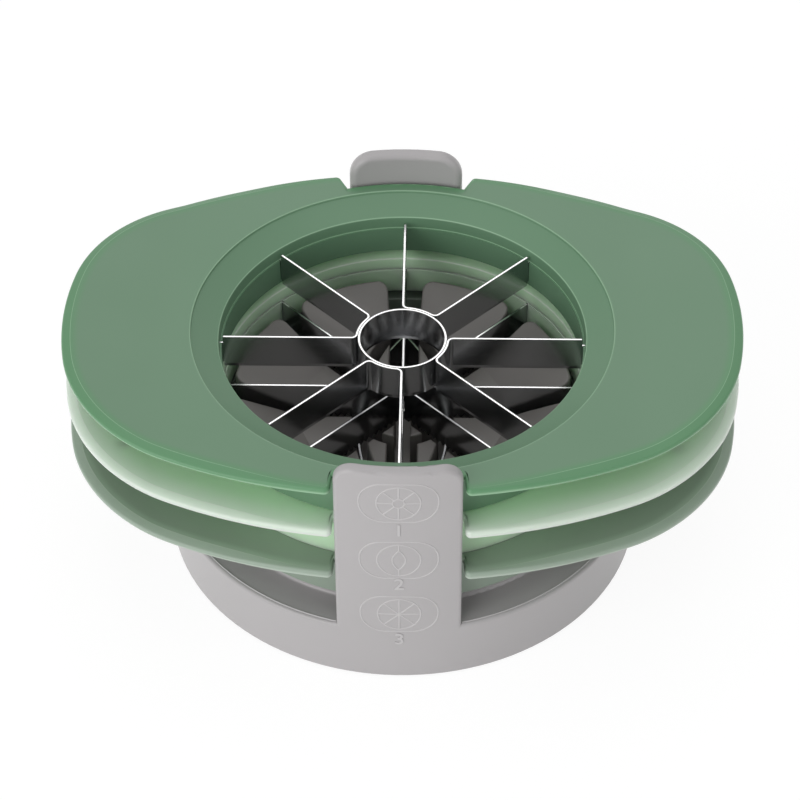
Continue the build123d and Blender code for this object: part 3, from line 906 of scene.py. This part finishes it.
        def plate_ring(inner: Ring, outer: Ring, part: float, drop: float) -> Ring:
            """Lay a ring on the plate.

            Args:
                inner: round ring inside it.
                outer: ring of the edge outside it.
                part: 0 at the inner ring, 1 at the outer one.
                drop: how far it lies under the plate top.

            Returns:
                The ring.
            """
            points = []
            nearness = []
            for start, end in zip(inner.points, outer.points):
                place = start.lerp(end, part)
                points.append(Vector((place.x, place.y, self.plate_height(place.x) - drop)))
                nearness.append(max(0.0, 1 - (1 - part) * (end - start).to_2d().length / NEAR_REACH))
            return Ring(points, nearness)

        inner = round_ring(land, self.rim_fall, 0.0)
        outer = edge_ring(0)
        rings = [inner]
        rings += [plate_ring(inner, outer, step / self.top_rings, 0.0) for step in range(1, self.top_rings)]
        rings += [edge_ring(number) for number in range(len(sections[0]))]
        lower = rings[-1]
        under = round_ring(self.skirt_radius - self.skirt_draft, self.rim_fall - self.thickness, 0.0)
        rings += [
            plate_ring(under, lower, 1 - step / self.under_rings, self.thickness)
            for step in range(1, self.under_rings)
        ]
        rings += [round_ring(*corner) for corner in self.round_section()]
        return rings

    def rib(self, angle: float) -> Object:
        """Return one upright rib under a wing, deep at the skirt and shallow at its far end.

        Args:
            angle: the way the rib runs from the stack axis, in degrees.

        Returns:
            The rib, which starts inside the skirt and ends inside the wing's underside.
        """
        along = abs(math.cos(math.radians(angle)))
        inner = self.skirt_radius - self.skirt_wall / 2
        tip = self.skirt_radius + self.wing_reach - self.rib_end_gap
        half = self.thickness / 2
        deselect()
        bpy.ops.mesh.primitive_cube_add(size=1.0)
        rib = bpy.context.object
        bpy.ops.object.mode_set(mode="EDIT")
        bpy.ops.mesh.select_all(action="SELECT")
        bpy.ops.mesh.bisect(plane_co=(self.rib_cut, 0, 0), plane_no=(1, 0, 0))
        bpy.ops.object.mode_set(mode="OBJECT")
        start = (self.skirt_radius + self.wing_flat) / along
        lowest = min(corner.co.x for corner in rib.data.vertices)
        for corner in rib.data.vertices:
            if corner.co.x < (lowest + self.rib_cut) / 2:
                reach = inner
            else:
                reach = start if corner.co.x < 0 else tip
            roof = self.plate_height(reach * along) - half
            depth = self.rib_depth + (self.rib_tip_depth - self.rib_depth) * (reach - inner) / (tip - inner)
            floor = roof - half - depth
            height = roof if corner.co.z > 0 else floor
            side = math.copysign(self.rib_thickness / 2, corner.co.y)
            corner.co = Vector((reach, side, height + self.level)) * MM
        rib.data.transform(Matrix.Rotation(math.radians(angle), 4, "Z"))
        deselect()
        return rib

    def build(self, finish: Material) -> Object:
        """Build the frame as one piece, dress it and let it stand for its CAD node.

        Args:
            finish: material of the plastic.

        Returns:
            The finished piece.
        """
        name = f"{self.cutter.value}_plate"
        piece = grow_shell(name, self.rings(), self.level)
        ribs = [self.rib(angle) for angle in self.rib_angles]
        piece = join_pieces(piece, ribs)
        finish_piece(piece, finish, self.sharp)
        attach(piece, self.cutter.value)
        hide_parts(f"{self.cutter.value}_frame")
        return piece


# --- moulded marks on the tab -------------------------------------------------------------------
@dataclass
class TabMarks:
    """Raised pictures of the three blades on the tab, each over a plain number."""

    radius: float = 68.8         # outside of the base, which the tab continues
    ridge: float = 0.26          # half width of a raised line
    sink: float = 0.10           # the middle of a line lies this deep in the tab
    digit_round: float = 0.065   # rounding of the edges of a number
    plate_width: float = 21.5
    plate_height: float = 14.0
    plate_corner: float = 6.6
    painted_highlight_strength: float = 0.2           # strength of the painted highlight on the raised lines and numbers
    circle: float = 5.95
    core: float = 1.6
    lens_width: float = 3.6
    lens_length: float = 7.2
    number_height: float = 4.2
    middle_x: float = 0.2
    cap_share: float = 0.7       # height of a digit over its font size
    line_sides: int = 12
    round_level: int = 3
    circle_steps: int = 40
    corner_steps: int = 8
    lens_steps: int = 32
    spokes: int = 8
    sharp: float = 40.0          # degrees
    marks: tuple[tuple[Emblem, float, str, float], ...] = (
        (Emblem.CORED_SPOKES, 69.2, "1", 58.9),
        (Emblem.LENS, 47.5, "2", 38.0),
        (Emblem.SPOKES, 26.1, "3", 15.9),
    )

    def wrap(self, piece: Object, height: float) -> None:
        """Lay a flat piece round the tab: its x runs round, its y up, and its z stands out.

        Args:
            piece: the flat piece, in metres.
            height: height of its middle above the table, in millimetres.
        """
        for corner in piece.data.vertices:
            x, y, z = corner.co / MM
            angle = (x + self.middle_x) / self.radius
            reach = self.radius - self.sink + z
            corner.co = Vector((reach * math.sin(angle), -reach * math.cos(angle), y + height)) * MM

    def line(self, first: Vector, last: Vector) -> Object:
        """Make a straight raised line, as a round bar.

        Args:
            first: the point at which it starts.
            last: the point at which it ends.

        Returns:
            The flat line.
        """
        run = last - first
        deselect()
        bpy.ops.mesh.primitive_cylinder_add(
            vertices=self.line_sides, radius=self.ridge * MM, depth=run.length * MM
        )
        line = bpy.context.object
        turn = Vector((0, 0, 1)).rotation_difference(run.to_3d()).to_matrix().to_4x4()
        middle = ((first + last) / 2).to_3d() * MM
        line.data.transform(Matrix.Translation(middle) @ turn)
        return line

    def loop(self, points: list[Vector]) -> Object:
        """Make a closed raised line.

        Args:
            points: the points through which it runs.

        Returns:
            The flat line.
        """
        deselect()
        bpy.ops.mesh.primitive_circle_add(vertices=len(points), radius=self.circle * MM, fill_type="NOTHING")
        loop = bpy.context.object
        for corner, point in zip(loop.data.vertices, points):
            corner.co = point.to_3d() * MM
        bpy.ops.object.convert(target="CURVE")
        loop.data.bevel_depth = self.ridge * MM
        loop.data.bevel_resolution = self.round_level
        bpy.ops.object.convert(target="MESH")
        return loop

    def circle_points(self, radius: float) -> list[Vector]:
        """Return points round a circle."""
        turns = [2 * math.pi * step / self.circle_steps for step in range(self.circle_steps)]
        return [Vector((radius * math.cos(turn), radius * math.sin(turn))) for turn in turns]

    def plate_points(self) -> list[Vector]:
        """Lay points round the small plate, whose corners are well rounded.

        Returns:
            The points, anticlockwise.
        """
        points = []
        reach = Vector((self.plate_width / 2 - self.plate_corner, self.plate_height / 2 - self.plate_corner))
        for quarter, signs in enumerate(((1, 1), (-1, 1), (-1, -1), (1, -1))):
            for step in range(self.corner_steps + 1):
                turn = math.pi / 2 * (quarter + step / self.corner_steps)
                way = Vector((math.cos(turn), math.sin(turn)))
                points.append(reach * Vector(signs) + way * self.plate_corner)
        return points

    def lens_points(self) -> list[Vector]:
        """Lay points round the lens.

        Returns:
            The points, from its lower tip on.
        """
        points = []
        for step in range(self.lens_steps):
            turn = 2 * math.pi * step / self.lens_steps
            height = -math.cos(turn)
            width = (1 - height**2) * math.copysign(1, math.sin(turn))
            points.append(Vector((width * self.lens_width / 2, height * self.lens_length / 2)))
        return points

    def emblem(self, emblem: Emblem) -> list[Object]:
        """Make one picture.

        Args:
            emblem: what the picture shows.

        Returns:
            Its flat lines.
        """
        lines = [self.loop(self.plate_points()), self.loop(self.circle_points(self.circle))]
        if emblem is Emblem.LENS:
            lines.append(self.loop(self.lens_points()))
            for side in (-1, 1):
                tip = Vector((0.0, side * self.lens_length / 2))
                lines.append(self.line(tip, Vector((0.0, side * self.circle))))
            return lines
        start = 0.0
        if emblem is Emblem.CORED_SPOKES:
            start = self.core
            lines.append(self.loop(self.circle_points(self.core)))
        for step in range(self.spokes):
            turn = 2 * math.pi * step / self.spokes
            way = Vector((math.cos(turn), math.sin(turn)))
            lines.append(self.line(way * start, way * self.circle))
        return lines

    def number(self, digit: str) -> Object:
        """Make a plain raised number.

        Args:
            digit: the number's text.

        Returns:
            The flat number, centred on the origin.
        """
        deselect()
        bpy.ops.object.text_add()
        text = bpy.context.object
        text.data.body = digit
        text.data.size = self.number_height / self.cap_share * MM
        text.data.extrude = self.ridge * MM
        text.data.bevel_depth = self.digit_round * MM
        text.data.align_x = "CENTER"
        text.data.align_y = "CENTER"
        bpy.ops.object.convert(target="MESH")
        return text

    def build(self, finish: Material) -> None:
        """Build and dress every mark.

        Args:
            finish: material of the base.
        """
        for emblem, height, digit, number_height in self.marks:
            lines = self.emblem(emblem)
            picture = join_pieces(lines[0], lines[1:])
            picture.name = f"tab_picture_{digit}"
            number = self.number(digit)
            number.name = f"tab_number_{digit}"
            for piece, middle in ((picture, height), (number, number_height)):
                self.wrap(piece, middle)
                # painted highlight on the raised lines and numbers
                paint_highlight(piece, self.painted_highlight_strength)
                finish_piece(piece, finish, self.sharp)
                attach(piece, "base")


# --- base ---------------------------------------------------------------------------------------
@dataclass
class BaseRim:
    """Fine edge round the shoulder of the base, which ends at the tab and at the lug."""

    radius: float = 67.6
    height: float = 19.32
    half_width: float = 0.2
    tab_half: float = 17.1
    lug_half: float = 16.6
    steps: int = 360
    round_level: int = 2
    painted_highlight_strength: float = 0.25          # strength of the painted highlight along the edge
    sharp: float = 60.0          # degrees

    def build(self, finish: Material) -> Object:
        """Build and dress the two halves of the edge as one piece.

        Args:
            finish: material of the base.

        Returns:
            The finished piece.
        """
        deselect()
        bpy.ops.mesh.primitive_circle_add(vertices=self.steps, radius=self.radius * MM, fill_type="NOTHING")
        rim = bpy.context.object
        rim.name = "base_rim_edge"
        bpy.ops.object.mode_set(mode="EDIT")
        shape = bmesh.from_edit_mesh(rim.data)
        for corner in shape.verts:
            half = self.lug_half if corner.co.y > 0 else self.tab_half
            corner.co.z = self.height * MM
            corner.select = abs(corner.co.x) < half * MM
        bmesh.update_edit_mesh(rim.data)
        bpy.ops.mesh.delete(type="VERT")
        bpy.ops.object.mode_set(mode="OBJECT")
        bpy.ops.object.convert(target="CURVE")
        rim.data.bevel_depth = self.half_width * MM
        rim.data.bevel_resolution = self.round_level
        rim.data.use_fill_caps = True
        bpy.ops.object.convert(target="MESH")
        # painted highlight along the edge
        paint_highlight(rim, self.painted_highlight_strength)
        finish_piece(rim, finish, self.sharp)
        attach(rim, "base")
        return rim


# --- dressing -----------------------------------------------------------------------------------
@dataclass
class Finishes:
    """Every finish of the set, by the name of its material slot."""

    made: dict[str, Material] = field(default_factory=dict)

    def prepare(self) -> None:
        """Make every finish once."""
        for finish in (
            # each plastic: own colour, flow tint, painted edge light and shade, painted highlight colour
            MouldedPlastic("top_cutter_plastic", "#628869", "#688C6F", "#5C8D65", "#A9CFAC", painted_edge_shading_reach=2.5),
            MouldedPlastic(
                "middle_cutter_plastic", "#C3E7C1", "#CAECC7", "#DCF8DB", "#EEFBEC",
                painted_edge_shading_reach=9.0, glow_depth=5.0,
            ),
            MouldedPlastic(
                "bottom_cutter_plastic", "#859486", "#8A988A", "#97A798", "#BECABE", painted_edge_shading_reach=2.5
            ),
            MouldedPlastic("base_plastic", "#AFACAD", "#B3B0B1", "#AFACAD", "#F4F3F3"),
            MouldedPlastic("pusher_plastic", "#7F7B79", "#85817E", "#7F7B79", "#7F7B79"),
            BladeSteel("blade_steel"),
            MouldedPlastic("pad_rubber", "#3A3A3B", "#424243", "#3A3A3B", "#3A3A3B", roughness=0.8),
        ):
            self.made[finish.name] = finish.material()

    def dress_nodes(self, nodes: dict[str, Object]) -> None:
        """Give each CAD node the finish that its imported material names.

        Args:
            nodes: the CAD nodes by name.
        """
        for name, node in nodes.items():
            for place in node.material_slots:
                place.material = self.made[place.material.name.removeprefix(IMPORTED)]
            LOG.info("dressed %s", name)


def main() -> None:
    """Build and dress the object in its studio."""
    logging.basicConfig(level=logging.INFO, format="%(name)s: %(message)s")
    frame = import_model()
    for material in list(bpy.data.materials):
        material.name = IMPORTED + material.name
    finishes = Finishes()
    finishes.prepare()
    finishes.dress_nodes(frame["nodes"])
    for cutter in Cutter:
        piece = CutterFrame(cutter).build(finishes.made[SLOTS[cutter]])
        LOG.info("built %s with %d faces", piece.name, len(piece.data.polygons))
    rim = BaseRim().build(finishes.made["base_plastic"])
    LOG.info("built %s", rim.name)
    TabMarks().build(finishes.made["base_plastic"])
    LOG.info("built the marks on the tab")
    Studio().build()


if __name__ == "__main__":
    main()
